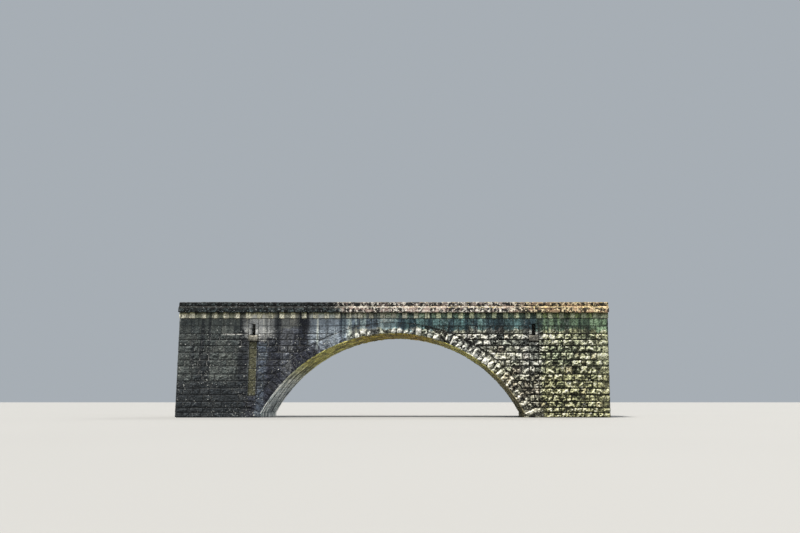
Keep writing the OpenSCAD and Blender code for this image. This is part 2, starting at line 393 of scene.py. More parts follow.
def prism(body, outline, depth):
    """A core with an X-Z outline, listed anticlockwise, that far behind the wall's face."""
    x, z = np.array(outline, float).T
    i = np.arange(len(x))
    j, back = np.roll(i, -1), i + len(x)
    ends = [body.solid(x, z, np.full(len(x), y)) for y in (-FACE_Y + depth, -INNER_Y)]
    body.add(np.concatenate(ends), [np.stack([i, back, j + len(x), j], axis=1), i, back[::-1]], 1)


def back_of_ring(u):
    """Height of the ring's back at u, or a level under the ground beyond its foot."""
    return np.where(np.abs(u) < BED_X, CENTRE_Z + np.sqrt(np.maximum(RING_R**2 - u * u, 0)), -1.0)


def ring_reach(z):
    """How far from the middle the ring's back reaches at height z."""
    return math.sqrt(max(RING_R**2 - (z - CENTRE_Z) ** 2, 0))


def ring_outline(a, b, count=20):
    """X-Z points along the ring's back from a to b, or to its foot."""
    x = np.linspace(a, min(b, BED_X - 0.001), count)
    return list(zip(x, back_of_ring(x)))


def rough_of(body, level, worn):
    """Bulge and roughness of a stone: the upper courses are dressed and the rest is rock-faced.
    worn is under 1 where the faces stand out less."""
    if level >= DRESSED_Z:
        return body.rng.uniform(0.002, 0.012), 0.004
    if level >= HALF_DRESSED_Z:
        return body.rng.uniform(0.014, 0.055) * worn, 0.008
    return body.rng.uniform(0.085, 0.15) * worn, 0.005 + 0.025 * worn


def side_wall(body, x0, x1):
    """A side wall of coursed stones from x0 to x1, seated on the ring and the springer."""
    worn = WORN if body.end == "left" else 1.0
    for k, (z0, z1) in enumerate(pairwise(LEVELS)):
        start = max(x0, TAIL_X if z0 < BED_Z else ring_reach(z1 - TOE))
        stop = x1
        if start >= stop - SLIVER:
            continue
        if x1 == HALF_L:
            stop = x1 - (QUOIN_LONG if k % 2 else QUOIN_SHORT)
            tooth = 0 if k % 2 else QUOIN_TOOTH
            block(body, ticks(stop + GAP, x1 - QUOIN_END_BULGE), ticks(z0 + GAP, z1 - GAP),
                  ticks(-FACE_Y + 0.005, -INNER_Y + tooth),
                  bulges=(("w0", QUOIN_BULGE * worn), ("u1", QUOIN_END_BULGE)))
        for a, b in body.cut(start, stop, STONE_L[body.end]):
            wall_stone(body, a, b, z0, z1, *rough_of(body, z0, worn))
    wall_core(body, x0, x1)
    body.make()


def wall_core(body, x0, x1):
    """The mortar behind the stones of a side wall: deep below, shallow behind dressed stones."""
    turn = ring_reach(HALF_DRESSED_Z)
    stop = x1 - END_INSET if x1 == HALF_L else x1
    high = ring_outline(x0, turn) if x0 < turn else [(x0, HALF_DRESSED_Z)]
    prism(body, high + [(stop, HALF_DRESSED_Z), (stop, BAND_Z), (x0, BAND_Z)], MORTAR)
    low = ring_outline(max(x0, turn), x1) if x0 < BED_X else [(x0, BED_Z)]
    if x1 > TAIL_X:
        low += [(BED_X, BED_Z)] if x0 < BED_X else []
        low += [(TAIL_X, BED_Z), (TAIL_X, 0), (stop, 0)]
    low += [(stop, HALF_DRESSED_Z)]
    low += [(x0, HALF_DRESSED_Z)] if x0 > turn else []
    prism(body, low, ROCK_MORTAR[body.end])


def outlet_head(body):
    """The jambs and the lintel round a drain slot, and the stone behind the ledge."""
    depth = ticks(-FACE_Y, -INNER_Y)
    middle = SLOT_Z + 0.52 * (SLOT_TOP - SLOT_Z)
    jambs = (BAY_X0, DRAIN_X - SLOT_HALF), (DRAIN_X + SLOT_HALF, BAY_X1)
    dressed = 0.004, 0.02, (("w0", 0.008),)
    for a, b in jambs:
        for z0, z1 in ((SLOT_Z, middle), (middle, SLOT_TOP)):
            block(body, ticks(a + GAP, b - GAP, 0.06), ticks(z0 + GAP, z1 - GAP), depth, *dressed)
    block(body, ticks(BAY_X0 + GAP, BAY_X1 - GAP), ticks(SLOT_TOP, BAND_Z - GAP), depth, *dressed)
    root_y = LEDGE_HI.y

    def floor(x, z, y):
        return body.solid(x, z + SLOT_SLOPE * (z > SLOT_Z - 0.01) * (y - root_y), y)

    block(body, ticks(BAY_X0, BAY_X1), ticks(LEDGE_Z, SLOT_Z), ticks(root_y, -INNER_Y),
          0.003, 0.015, place=floor)
    for (a, b), left, right in zip(jambs, (0, 0.02), (0.02, 0)):
        core(body, [a + left, b - right], [SLOT_Z, BAND_Z], [-FACE_Y + MORTAR, -INNER_Y])
    body.make()


def chase(body):
    """The bay below a ledge, with a shallow chase that the water runs down. On the left it is of
    tall smooth stones, and on the right of rock-faced ones in line with the courses."""
    rocky = body.end == "right"
    levels = SMOOTH_CHASE_LEVELS
    if rocky:
        levels = [z for z in LEVELS if BED_Z <= z < LEDGE_Z] + [LEDGE_Z]
    wide = BAY_X1 - BAY_X0
    lip = 0.05 if rocky else 0.012
    sides = [0.5 + side * (CHASE_HALF + extra) / wide for side in (-1, 1) for extra in (-lip, 0)]

    def groove(u, v):
        inside = np.clip((CHASE_HALF - np.abs(u - DRAIN_X)) / lip, 0, 1)
        return -CHASE_DEPTH * inside * (v > CHASE_FOOT)

    for k, (z0, z1) in enumerate(pairwise(levels)):
        chased = z1 > CHASE_FOOT + 0.1
        extra = ([] if rocky else sides, groove) if chased else None
        bulge = body.rng.uniform(0.08, 0.12) if rocky else 0.004 if chased else 0.05
        cuts = [BAY_X0, BAY_X1]
        if rocky and k % 2:
            cuts[1:1] = [DRAIN_X + body.rng.uniform(-0.08, 0.08)]
        for a, b in pairwise(cuts):
            wall_stone(body, a, b, z0, z1, bulge, 0.024 if rocky else 0.006, extra=extra, depth=0.2)
    foot = ring_outline(BAY_X0, BED_X, 8)
    foot += [(BED_X, BED_Z), (BAY_X1, BED_Z), (BAY_X1, LEDGE_Z), (BAY_X0, LEDGE_Z)]
    prism(body, foot, CHASE_DEPTH + (ROCK_MORTAR["right"] if rocky else MORTAR))
    body.make()


def ledge(body):
    """A ledge stone with a falling top and a channel worn into it."""
    nose_y, root_y = LEDGE_LO.y, LEDGE_HI.y

    def place(x, z, y):
        fall = LEDGE_FALL * np.clip((-FACE_Y - y) / (-FACE_Y - nose_y), 0, 1)
        channel = np.clip((SLOT_HALF - np.abs(x - DRAIN_X)) / 0.02 + 0.5, 0, 1)
        fall = fall + channel * CHANNEL_DEPTH * np.clip((root_y - y) / (root_y - nose_y), 0, 1)
        return body.solid(x, z - fall * (z - LEDGE_Z) / (SLOT_Z - LEDGE_Z), y)

    lips = [DRAIN_X + side * (SLOT_HALF + lip) for side in (-1, 1) for lip in (-0.012, 0.012)]
    u = np.unique(np.round(np.concatenate([ticks(BAY_X0 + GAP, BAY_X1 - GAP, 0.07), lips]), 4))
    block(body, u, ticks(LEDGE_Z + GAP, SLOT_Z, 0.07), ticks(nose_y, root_y, 0.08), 0.004, 0.025,
          place=place)
    body.make("stone")


def ring(body):
    """The voussoirs of one face, with rock faces and a dressed soffit. Near the crown their heads
    are dressed too, like the band above them."""
    def place(a, r, y):
        head = np.clip((r - RADIUS - 0.24) / 0.14, 0, 1) * np.clip((3.0 - np.abs(a + 1.2)) / 0.8, 0, 1)
        stands = np.where(y < -FACE_Y + 0.08, y + FACE_Y, 0)
        return body.round(a, r, y - 0.85 * head * stands)

    for a, b in pairwise(VOUSSOIR_EDGES):
        worn = a < WORN_ARC
        bulge = body.rng.uniform(0.065, 0.15) * (0.35 if worn else 1)
        block(body, ticks(a + GAP, b - GAP, 0.05), ticks(RADIUS, RING_R - GAP, 0.05),
              ticks(-FACE_Y, -INNER_Y, 0.2), 0.010 if worn else 0.024, 0.02,
              (("w0", bulge), ("v0", 0.006)), place)
    for a, b, end in ((-HALF_ARC, WORN_ARC, "left"), (WORN_ARC, HALF_ARC, "right")):
        core(body, np.linspace(a, b, 49), [RADIUS + 0.03, RING_R],
             [-FACE_Y + RING_MORTAR[end], -INNER_Y], place)
    body.make("voussoirs")


def vault(body):
    """The soffit between the face rings, in courses that follow the voussoirs."""
    def place(y, along, out):
        return body.round(along, RADIUS - out, y)

    for a, b in pairwise(VOUSSOIR_EDGES):
        for c, d in body.cut(-INNER_Y, INNER_Y, VAULT_STONE_L):
            wall_stone(body, c, d, a, b, body.rng.uniform(0.002, 0.012), 0.006, place,
                       cell=SMOOTH_CELL)
    core(body, np.linspace(-HALF_ARC, HALF_ARC, 97), [RADIUS + MORTAR, VAULT_R],
         [-INNER_Y, INNER_Y], body.round)
    body.make()


def springer(body):
    """Springer blocks across the bridge, with the sloping bed that carries the ring."""
    def place(x, share, y):
        slope = SPRING_Z + (BED_Z - SPRING_Z) * (x - HALF_SPAN) / (BED_X - HALF_SPAN)
        return body.solid(x, share * np.minimum(slope, BED_Z), y)

    u = np.concatenate([ticks(HALF_SPAN, BED_X), ticks(BED_X, TAIL_X)[1:]])
    for a, b in pairwise(np.linspace(-FACE_Y, FACE_Y, 6)):
        bulges = [("u0", 0.012)]
        bulges += [("w0", 0.06)] if a == -FACE_Y else []
        bulges += [("w1", 0.06)] if b == FACE_Y else []
        block(body, u, shares(0.5, 0.09, 0.02), ticks(a + GAP, b - GAP), bulges=bulges, place=place)
    body.make("blocks")


def dentil_spans():
    """Where the dentils of the CAD course start and end along X."""
    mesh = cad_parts["dentil_course_front"].data
    fronts = sorted({round(v.co.x, 4) for v in mesh.vertices if v.co.y < BAND_LO.y + 0.001})
    return list(zip(fronts[::2], fronts[1::2]))


def dentil_course(body):
    """The dentils and the band of small stones between them."""
    spans = dentil_spans()
    for a, b in spans:
        drop = body.rng.uniform(0, 0.012)
        block(body, ticks(a, b, 0.07), ticks(BAND_Z, CORNICE_Z, 0.08),
              ticks(-DENTIL_Y + drop, -INNER_Y - 0.3, 0.1), 0.005, 0.022)
    for (_, a), (b, _) in pairwise(spans):
        wall_stone(body, a - 0.01, b + 0.01, BAND_Z, CORNICE_Z, 0.002, 0.005, kind=2)
    last = spans[-1][1]
    for a, b in ((-HALF_L, -last), (last, HALF_L)):
        block(body, ticks(a + GAP, b - GAP), ticks(BAND_Z + GAP, CORNICE_Z - GAP),
              ticks(-FACE_Y, -INNER_Y))
    inset = HALF_L - END_INSET
    core(body, [-inset, inset], [BAND_Z, CORNICE_Z], [-FACE_Y + MORTAR, -INNER_Y])
    body.make()


def cornice(body):
    """Cornice slabs with an upright front and a sloping wash."""
    def place(x, share, y):
        wash = np.clip((y + CORNICE_Y) / (CORNICE_Y - KERB_Y), 0, 1)
        return body.solid(x, CORNICE_Z + share * (WASH_Z - CORNICE_Z + (KERB_Z - WASH_Z) * wash), y)

    w = np.concatenate([ticks(-CORNICE_Y, -KERB_Y, 0.07), ticks(-KERB_Y, -INNER_Y, 0.2)[1:]])
    for a, b in body.cut(-HALF_L, HALF_L, SLAB_L):
        drop = body.rng.uniform(-0.006, 0.0)
        block(body, ticks(a + GAP / 2, b - GAP / 2, 0.085, 0.018), shares(0.28, 0.07, 0.02),
              w - drop, 0.009, 0.025, place=place)
    body.make("slabs")


def kerb(body):
    """Kerb stones with worn, rounded tops."""
    worn, crest_h = 0.035, 0.06
    crest_z, middle = TOP_Z - crest_h, -(KERB_Y + KERB_INNER_Y) / 2

    def place(x, z, y):
        top = np.clip((z - crest_z) / crest_h, 0, 1)
        return body.solid(x, z, y + (middle - y) * top * worn * 4)

    z = np.concatenate([ticks(KERB_Z - 0.01, crest_z, 0.07)[:-1],
                        np.linspace(crest_z, TOP_Z - 0.004, 3)])
    for a, b in body.cut(-HALF_L, HALF_L, KERB_L):
        sunk = body.rng.uniform(0, 0.012)
        block(body, ticks(a + GAP / 2, b - GAP / 2, 0.085), z - sunk,
              ticks(-KERB_Y + 0.004, -KERB_INNER_Y), 0.010, worn, place=place)
    body.make()


def end_wall(body):
    """The wall that closes an end, between the quoins of the side walls."""
    def place(across, up, out):
        return body.solid(END_FACE_X + out, up, across)

    def solid(y, z, x):
        return body.solid(x, z, y)

    for k, (z0, z1) in enumerate(pairwise(LEVELS + [CORNICE_Z, KERB_Z])):
        half = INNER_Y - (QUOIN_TOOTH if k % 2 == 0 and z1 <= BAND_Z else 0)
        for a, b in body.cut(-half, half, END_STONE_L):
            bulge, rough = rough_of(body, z0, 0.3)
            wall_stone(body, a, b, z0, z1, min(bulge, END_BULGE), rough, place)
    # The kerb across the end keeps no bond with the wall below
    body.below = ()
    for a, b in body.cut(-KERB_INNER_Y, KERB_INNER_Y, END_KERB_L):
        block(body, ticks(a + GAP, b - GAP), ticks(KERB_Z, GRAVEL_Z, 0.06),
              ticks(END_WALL_X, HALF_L - 0.01), place=solid, kind=2)
    core(body, [-INNER_Y, INNER_Y], [0, KERB_Z], [END_WALL_X, END_FACE_X - ROCK_MORTAR["left"]],
         solid)
    body.make()


def track_bed(body):
    """Gravel between the kerbs: a rough bed with loose stones lying on it."""
    x, y = np.meshgrid(np.linspace(BED_LO.x, BED_HI.x, 301),
                       np.linspace(-KERB_INNER_Y, KERB_INNER_Y, 49), indexing="ij")
    spot = np.stack([x, y, np.zeros(x.shape)], axis=-1)
    rise = 0.012 * lumps(spot, 0.5, body.seed) + 0.014 * lumps(spot, 0.09, body.seed + 1)
    front = np.stack([x, y, GRAVEL_Z - 0.012 + rise], axis=-1)
    back = np.stack([x, y, np.full(x.shape, CORNICE_Z)], axis=-1)
    body.add(*closed_grid(front, back))
    loose_stones(body, 2600)
    body.make("gravel")


def loose_stones(body, count):
    """Crushed stones of the track bed, each a knocked-about icosahedron."""
    g = (1 + 5**0.5) / 2
    four = [(-1, g, 0), (1, g, 0), (-1, -g, 0), (1, -g, 0)]
    base = np.concatenate([np.roll(four, k, axis=1) for k in range(3)])
    faces = [f for f in combinations(range(12), 3)
             if all(math.dist(base[a], base[b]) < 2.01 for a, b in combinations(f, 2))]
    faces = np.array([f if np.linalg.det(base[list(f)]) > 0 else f[::-1] for f in faces])
    base /= math.hypot(1, g)
    rng = body.rng
    for _ in range(count):
        size = rng.uniform(0.022, 0.045)
        shape = base * rng.uniform(0.75, 1.25, (12, 1)) * rng.uniform(0.7, 1.1, 3) * size
        turn = rng.uniform(0, 2 * math.pi)
        c, s = math.cos(turn), math.sin(turn)
        shape = shape @ np.array([(c, s, 0), (-s, c, 0), (0, 0, 1)])
        spot = (rng.uniform(BED_LO.x + 0.06, BED_HI.x - 0.06),
                rng.uniform(-KERB_INNER_Y + 0.06, KERB_INNER_Y - 0.06),
                GRAVEL_Z + rng.uniform(-0.012, 0.008))
        body.add(shape + spot, [faces])


class Stone:
    """The node tree of one material, with a short call for each kind of node. A share is a
    number from 0 to 1, and a colour is a socket or three numbers."""

    def __init__(self, name):
        self.material = bpy.data.materials.new(name)
        self.material.use_nodes = True
        self.tree = self.material.node_tree
        self.shader = self.tree.nodes["Principled BSDF"]
        self.place = self.add("ShaderNodeTexCoord").outputs["Object"]
        self.x, self.y, self.z = self.add("ShaderNodeSeparateXYZ", self.place).outputs
        self.far_x, self.far_y = (self.math("ABSOLUTE", a) for a in (self.x, self.y))
        tone = self.add("ShaderNodeAttribute", attribute_name="tone").outputs["Color"]
        self.tone = self.add("ShaderNodeSeparateColor", tone).outputs
        self.relief = tone.node.outputs["Alpha"]

    def add(self, kind, *values, inputs=None, **settings):
        """Adds a node with values for its first inputs, or for those that the dict inputs names."""
        node = self.tree.nodes.new(kind)
        for key, value in settings.items():
            setattr(node, key, value)
        for key, value in (inputs or dict(enumerate(values))).items():
            self.join(value, node.inputs[key])
        return node

    def join(self, value, socket):
        if isinstance(value, bpy.types.NodeSocket):
            self.tree.links.new(value, socket)
        else:
            socket.default_value = (*value, 1.0) if socket.type == "RGBA" else value

    def math(self, operation, a, b=0.0):
        return self.add("ShaderNodeMath", a, b, operation=operation).outputs[0]

    def both(self, *shares):
        """The product of the shares."""
        return reduce(lambda a, b: self.math("MULTIPLY", a, b), shares)

    def plus(self, *values):
        """The sum of the values."""
        return reduce(lambda a, b: self.math("ADD", a, b), values)

    def less(self, share):
        """1 less the share."""
        return self.math("SUBTRACT", 1.0, share)

    def span(self, value, a, b, low=0.0, high=1.0):
        """Runs smoothly from low at a to high at b."""
        return self.add("ShaderNodeMapRange", value, a, b, low, high,
                        interpolation_type="SMOOTHSTEP").outputs[0]

    def between(self, value, a, b, edge):
        """1 between a and b, and 0 outside, with soft edges."""
        return self.both(self.span(value, a - edge, a + edge), self.span(value, b + edge, b - edge))

    def spot(self, stretch, shift):
        """Places in the row frame, stretched and shifted so that no two patterns run together."""
        spot = self.add("ShaderNodeVectorMath", self.place, stretch, operation="MULTIPLY").outputs[0]
        return self.add("ShaderNodeVectorMath", spot, (shift,) * 3, operation="ADD").outputs[0]

    def noise(self, scale, detail=3.0, roughness=0.6, stretch=(1, 1, 1), shift=0.0, bent=0.0):
        return self.add("ShaderNodeTexNoise", inputs={
            "Vector": self.spot(stretch, shift), "Scale": scale, "Detail": detail,
            "Roughness": roughness, "Distortion": bent}).outputs[0]

    def chips(self, scale, shift=0.0):
        """Distance to the nearest of many scattered points, for facets and round spots."""
        place = self.spot((1, 1, 1), shift)
        return self.add("ShaderNodeTexVoronoi", inputs={"Vector": place, "Scale": scale}).outputs[0]

    def about(self, value, size):
        """Turns noise, which lies round 0.5, into a shift of up to about size each way."""
        return self.both(self.math("SUBTRACT", value, 0.5), size)

    def up(self):
        """How far the surface faces up, from -1 to 1."""
        normal = self.add("ShaderNodeNewGeometry").outputs["Normal"]
        return self.add("ShaderNodeSeparateXYZ", normal).outputs[2]

    def mix(self, share, a, b, blend="MIX"):
        return self.add("ShaderNodeMix", inputs={0: share, 6: a, 7: b}, data_type="RGBA",
                        blend_type=blend).outputs[2]

    def times(self, colour, factor, share=1.0):
        """The colour multiplied by another, as far as the share says."""
        return self.mix(share, colour, factor, "MULTIPLY")

    def shade(self, colour, value, share=1.0):
        """The same with one value, such as a number or a share, for all three channels."""
        return self.times(colour, value if isinstance(value, bpy.types.NodeSocket) else (value,) * 3,
                          share)

    def stain(self, colour, share, tint, strength=1.0):
        """The colour covered by a tint, as far as share times strength says."""
        return self.mix(self.both(share, strength), colour, tint)

    def ramp(self, value, *stops):
        """Runs through the colours, which stand at even steps or at places of their own."""
        node = self.add("ShaderNodeValToRGB", value)
        points = node.color_ramp.elements
        while len(points) < len(stops):
            points.new(0.5)
        for k, (point, colour) in enumerate(zip(points, stops)):
            place, *colour = colour if len(colour) == 4 else (k / (len(stops) - 1), *colour)
            point.position, point.color = place, (*colour, 1)
        return node.outputs[0]

    def speckle(self, colour, value, dark, pale, spread=0.13, share=1.0):
        """Multiplies the colour by dark where the value is low, and by pale where it is high."""
        stops = ((0.5 - spread, dark), (0.5, 1.0), (0.5 + spread, pale))
        return self.times(colour, self.ramp(value, *((p, c, c, c) for p, c in stops)), share)

    def finish(self, colour, height, bump=0.6, distance=0.01, roughness=0.9):
        bumps = self.add("ShaderNodeBump", inputs={"Strength": bump, "Distance": distance,
                                                   "Height": height}).outputs[0]
        for key, value in (("Base Color", colour), ("Roughness", roughness),
                           ("Specular IOR Level", 0.25), ("Normal", bumps)):
            self.join(value, self.shader.inputs[key])
        return self.material


# Dirt with painted shade for the joints
DIRT_AND_SHADE = (0.030, 0.030, 0.028)
# Painted shade under the cornice
CORNICE_SHADE = (0.2, 0.2, 0.12)


class Zones:
    """Shares of the weathering zones of the walls, and of the painted shade, shadows and highlight
    on them. The edges of most wander with noise.
    """

    def __init__(self, m):
        rough = m.about(m.noise(2.2, 4.0, shift=3.0), 1.3)
        x, near_x = m.plus(m.x, m.about(m.noise(0.5, 4.0), 5.0)), m.plus(m.x, rough)
        z = m.plus(m.z, rough)
        hanging = m.plus(m.x, m.about(m.noise(1.6, 3.0, 0.6, (1, 1, 0.35), 41.0), 0.6))
        side = m.span(m.far_y, FACE_Y - 0.2, FACE_Y - 0.08)

        # Kinds of stone from left to right, and the dressed courses above. The dark slate on the
        # left is partly painted shade.
        self.slate_and_shade = m.span(x, -2.4, -4.4)
        self.pale = m.span(near_x, -3.2, -2.2)
        self.teal = m.span(near_x, -0.9, 0.8)
        self.smooth = m.span(near_x, 8.2, 8.7)
        self.brown = m.span(near_x, -8.0, -9.0)
        self.sunny = m.span(near_x, 8.5, 8.9)
        # Browner and darker low on the right: painted shade of plants
        self.plant_shade = m.both(m.span(x, 2.0, 4.0), m.span(z, 3.2, 2.2))
        self.mossy = m.both(m.between(near_x, 5.4, 7.2, 0.5), m.between(z, 2.0, 4.2, 0.5))
        # Dark green by the right drain: painted shade of a tree
        self.green = m.both(m.between(near_x, 8.7, 10.7, 0.4), m.between(z, 3.1, 4.05, 0.25))
        self.cream = m.both(m.between(near_x, -8.6, -6.9, 0.25), m.span(z, 4.45, 4.75))
        # Above this the teal-grey courses are partly painted shade under the cornice
        self.high = m.span(z, SLOT_Z + 0.22, SLOT_Z + 0.38)
        # How strong the speckles and the painted relief shading are: weaker on the left, whose slate is
        # partly painted shade, and in the dressed courses
        self.bold = m.both(m.span(x, -3.4, -1.6, 0.4, 1.0), m.span(z, 4.9, 5.25, 1.0, 0.62))

        # Painted shade under the cornice with a painted shadow line under the dentils, the band
        # between the dentils, a painted shadow under each ledge, and the stain down the chase
        self.under = m.both(side, m.between(m.z, BAND_Z - 0.05, BAND_Z + 0.01, 0.015))
        self.painted_cornice_shade = m.both(side, m.span(m.z, CORNICE_Z - 0.26, CORNICE_Z))
        self.recess = m.span(m.z, BAND_Z - 0.02, BAND_Z + 0.02)
        from_drain = m.math("ABSOLUTE", m.math("SUBTRACT", m.far_x, DRAIN_X))
        self.shadow = m.both(m.span(from_drain, CHASE_HALF + 0.06, CHASE_HALF + 0.03),
                             m.between(m.z, LEDGE_Z - 0.07, LEDGE_Z, 0.01))
        self.strip = m.both(m.between(m.x, -DRAIN_X - CHASE_HALF, -DRAIN_X + CHASE_HALF, 0.02),
                            m.between(m.z, CHASE_FOOT, LEDGE_Z, 0.05))

        # Runs of water, lime and moss that hang down the face
        bands = m.noise(1.3, 3.0, 0.6, (1, 1, 0.05), 31.0)
        longer = m.plus(z, m.span(x, -2.0, -4.0, 0.0, 2.4))
        self.bands = m.both(m.span(bands, 0.46, 0.56), m.span(longer, 4.2, 4.9))
        runs = [m.between(hanging, *run) for run in ((-6.90, -6.65, 0.10), (-5.65, -5.05, 0.12),
                                                     (-3.15, -2.65, 0.12))]
        self.runs = m.both(m.plus(*runs), m.span(z, 3.4, 4.4))
        self.washed = m.both(m.between(hanging, -7.95, -7.45, 0.12), m.span(z, 4.5, 4.2))
        self.veil = m.both(m.between(hanging, -4.90, -3.20, 0.15), m.span(z, 3.9, 4.5))
        drips = m.noise(1.9, 3.0, 0.6, (1, 1, 0.05))
        self.drips = m.both(m.span(drips, 0.50, 0.60), m.span(z, 3.2, 5.0))
        lime = m.noise(2.6, 4.0, 0.65, (1, 1, 0.25), 21.0)
        self.lime = m.both(m.span(lime, 0.50, 0.62), m.between(x, -5.2, -2.6, 0.7))
        # A pale dash at the half-dressed joint on the far left: a painted highlight of a lit ledge
        self.dash = m.both(m.between(m.z, HALF_DRESSED_Z - 0.045, HALF_DRESSED_Z + 0.03, 0.015),
                           m.between(near_x, -9.9, -8.9, 0.15), side, m.span(m.y, 0.1, -0.1))


def stone_colour(m, zones, light=1.0):
    """Colour of the walling before speckles: each stone has a tone, and the zones stain it, some
    of them with painted shade, shadows and a highlight.
    """
    def tones(*colours):
        return m.ramp(m.tone[0], *([c * light for c in colour] for colour in colours))

    slate_and_shade = tones((0.042, 0.045, 0.056), (0.052, 0.055, 0.066), (0.060, 0.061, 0.066))
    slate_and_shade = m.speckle(slate_and_shade, m.noise(2.6, 4.0, 0.65, (1, 1, 0.6), 51.0, 0.5), 0.55, 1.6, 0.16)
    grey = tones((0.19, 0.24, 0.25), (0.27, 0.325, 0.335), (0.35, 0.40, 0.40))
    pale = tones((0.25, 0.25, 0.195), (0.38, 0.375, 0.295), (0.51, 0.495, 0.39), (0.65, 0.63, 0.50))
    pale = m.times(pale, (1.22, 1.20, 1.15), m.span(m.z, 4.5, 3.9))
    pale = m.times(pale, (0.5, 0.52, 0.52), m.span(m.tone[2], 0.22, 0.14))
    pale = m.stain(pale, m.span(m.tone[1], 0.90, 0.93), (0.42, 0.345, 0.27), 0.5)
    pale = m.times(pale, (1.60, 1.58, 1.34), zones.mossy)
    # Painted shade of plants, low on the right
    pale = m.times(pale, (0.92, 0.88, 0.77), zones.plant_shade)
    pale = m.times(pale, (1.36, 1.38, 0.98), zones.sunny)
    # Teal-grey for the courses above on the right, partly painted shade under the cornice
    teal = tones((0.055, 0.098, 0.102), (0.083, 0.135, 0.134), (0.125, 0.186, 0.180))
    teal = m.times(teal, (0.82, 0.88, 1.03), m.span(m.x, 1.5, -0.5))
    # The slate on the left is partly painted shade
    low = m.mix(zones.slate_and_shade, m.mix(zones.pale, grey, pale), slate_and_shade)
    # Painted shade of a tree, dark green, by the right drain
    low = m.stain(low, zones.green, (0.155, 0.178, 0.105), 0.75)
    # Dark for the courses above on the left, partly painted shade
    dark = tones((0.058, 0.063, 0.072), (0.105, 0.102, 0.095))
    high = m.mix(zones.slate_and_shade, m.mix(zones.teal, grey, teal), dark)
    high = m.mix(zones.smooth, high, tones((0.128, 0.182, 0.112), (0.165, 0.230, 0.145)))
    colour = m.mix(zones.high, low, high)
    brown = tones((0.035, 0.041, 0.040), (0.056, 0.061, 0.057))
    for share, tint, strength in (
            (zones.brown, m.shade(brown, m.span(m.z, 3.4, 1.8, 1.0, 1.5)), 0.85),
            (zones.lime, (0.52, 0.56, 0.57), 0.75), (zones.cream, (0.76, 0.73, 0.62), 0.9),
            (zones.veil, (0.50, 0.55, 0.545), 0.75)):
        colour = m.stain(colour, share, tint, strength)
    colour = m.times(colour, m.mix(zones.bands, (0.54, 0.57, 0.66), (1.85, 1.9, 1.85)))
    colour = m.stain(colour, zones.drips, (0.030, 0.038, 0.042), 0.5)
    colour = m.times(colour, (0.40, 0.42, 0.46), zones.runs)
    colour = m.times(colour, (2.75, 3.0, 2.8), zones.washed)
    colour = m.stain(colour, zones.strip, (0.086, 0.084, 0.048), 0.85)
    colour = m.shade(colour, 0.2, zones.shadow)
    # Painted highlight of a lit ledge
    colour = m.stain(colour, zones.dash, (0.62, 0.62, 0.58))
    # Painted shade under the cornice, lifted in the band between the dentils and most on the left, and a
    # painted shadow line under the dentils
    colour = m.times(colour, m.mix(zones.slate_and_shade, (1.35, 1.2, 0.95), (2.9, 2.75, 2.3)), zones.recess)
    colour = m.times(colour, CORNICE_SHADE, zones.painted_cornice_shade)
    colour = m.stain(colour, zones.under, (0.030, 0.036, 0.034), 0.6)
    quiet_ends = m.span(m.far_x, HALF_L - 0.08, HALF_L - 0.04, 1.0, 0.5)
    strong = m.both(quiet_ends, m.span(m.y, 0.0, 1.5, 1.0, 0.7))
    return m.add("ShaderNodeHueSaturation", 0.5, strong, 1.0, 1.0, colour).outputs[0]


def weathered_and_shaded(m, colour, fine, bold=1.0, palest=0.66):
    """Adds the speckles, lichen spots and dirt that all the walling has, with painted shade and
    highlights: darker in the hollows and lighter where the face stands out, lighter where it
    faces up and black where it faces down, and dirt with painted shade in the joints. bold says
    how strong they are, from 0 to 1."""
    colour = m.speckle(colour, m.noise(5.5, 4.0, 0.65, shift=5.5, bent=0.6), 0.5, 1.7, 0.12, bold)
    colour = m.speckle(colour, m.noise(11.0, shift=15.5, bent=0.8), 0.3, 2.1, 0.10, bold)
    colour = m.speckle(colour, fine, 0.7, 1.3, 0.15)
    # Painted shade in the hollows, darker low down, and a painted highlight where the face stands out
    hollow = m.span(m.z, 3.6, 2.4, 0.27, 0.15)
    colour = m.shade(colour, m.span(m.relief, 0.18, 0.85, hollow, 1.62), bold)
    # Painted light by facing: lighter where the face looks up, black where it looks down
    colour = m.shade(colour, m.span(m.up(), -0.5, 0.2, 0.14, 1.22), bold)
    spots = m.span(m.noise(10.0, 3.0, 0.5, shift=2.0, bent=0.5), 0.62, 0.68)
    few = m.span(m.noise(1.3, shift=14.0), 0.42, 0.54)
    colour = m.stain(colour, m.both(spots, few), (0.45, 0.46, 0.43), 0.85)
    colour = m.mix(1.0, colour, (palest, 0.99 * palest, 0.92 * palest), "DARKEN")
    # Dirt and painted shade in the joints and at the stones' sunk edges
    return m.stain(colour, m.span(m.relief, 0.24, 0.02, 0.0, 0.75), DIRT_AND_SHADE, bold)


def rock_height(m, fine):
    """Chiselled facets and grain for the bump of a rock face."""
    return m.plus(m.both(m.chips(11.0, 1.0), 1.1), m.noise(13.0, shift=9.0), m.both(fine, 0.45))


def rock_finish(m, colour, fine, bold, palest=0.66):
    return m.finish(weathered_and_shaded(m, colour, fine, bold, palest), rock_height(m, fine), 0.9, 0.045)


def wall_material(name, light=1.0):
    """Weathered walling: slate on the left and teal-grey above on the right, both partly painted
    shade, and pale below.
    """
    m = Stone(name)
    zones = Zones(m)
    fine = m.noise(28.0, 4.0, 0.7, shift=7.7)
    return rock_finish(m, stone_colour(m, zones, light), fine, zones.bold)


